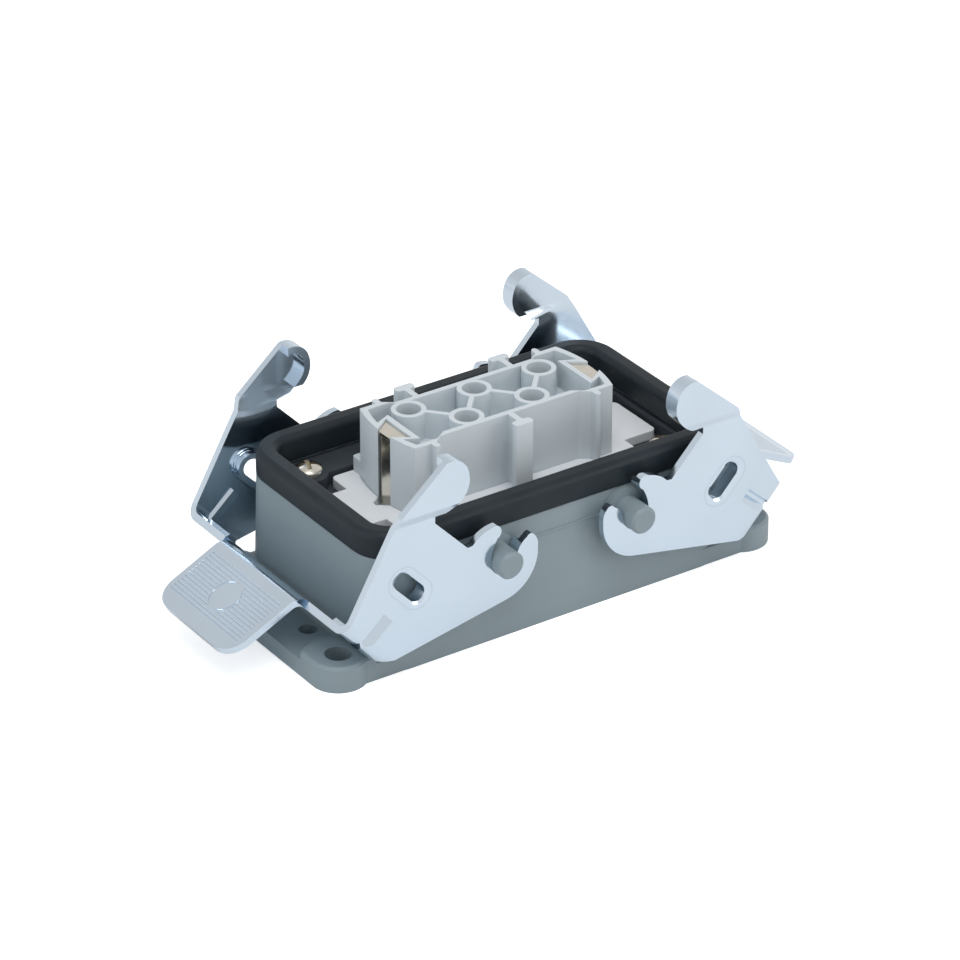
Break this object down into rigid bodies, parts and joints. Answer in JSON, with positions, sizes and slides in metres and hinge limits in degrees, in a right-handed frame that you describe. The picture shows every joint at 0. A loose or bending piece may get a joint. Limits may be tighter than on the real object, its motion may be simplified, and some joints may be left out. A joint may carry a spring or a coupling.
{
  "type": "rectangular power connector housing",
  "caption": "Panel-mounting metal connector housing with gasket, keyed female contact insert in its neck and two folded sheet-metal locking levers that swing up over a hood.",
  "frame": {"origin": "centre of the flange's mounting face, in the middle of the fixing hole pattern", "axes": "+X along the connector's length, +Y across it towards the row of three contacts, +Z out of the panel towards the mating hood"},
  "size_m": [0.1178, 0.0544, 0.039],
  "materials": {
    "die_cast_housing": "fine powder coat over die-cast aluminium",
    "black_rubber": "matt",
    "light_moulding": "fine moulded",
    "frame_plate": "dark satin",
    "plated_sheet": "bright zinc plate",
    "plated_screws": "nickel plate",
    "silvered_brass": "silver plate"
  },
  "bodies": {
    "base": {"housing": "die_cast_housing", "flange_seal": "black_rubber", "housing_gasket": "black_rubber", "insert_frame": "frame_plate", "insert_plate": "light_moulding", "insert_body": "light_moulding", "insert_base": "light_moulding", "contact_1": "silvered_brass", "contact_2": "silvered_brass", "contact_3": "silvered_brass", "contact_4": "silvered_brass", "contact_5": "silvered_brass", "earth_clip_left": "plated_screws", "earth_clip_right": "plated_screws", "fixing_screw_1": "plated_screws", "fixing_screw_2": "plated_screws", "fixing_screw_3": "plated_screws", "fixing_screw_4": "plated_screws", "earth_screw_left": "plated_screws", "earth_screw_right": "plated_screws"},
    "left_lever": {"lever_left": "plated_sheet"},
    "right_lever": {"lever_right": "plated_sheet"}
  },
  "joints": [
    {"name": "left_lever_swing", "type": "hinge", "parent": "base", "child": "left_lever", "pos_m": [-0.01335, 0, 0.01685], "axis": [0, 1, 0], "range_deg": [0, 42]},
    {"name": "right_lever_swing", "type": "hinge", "parent": "base", "child": "right_lever", "pos_m": [0.01335, 0, 0.01685], "axis": [0, -1, 0], "range_deg": [0, 42]}
  ]
}
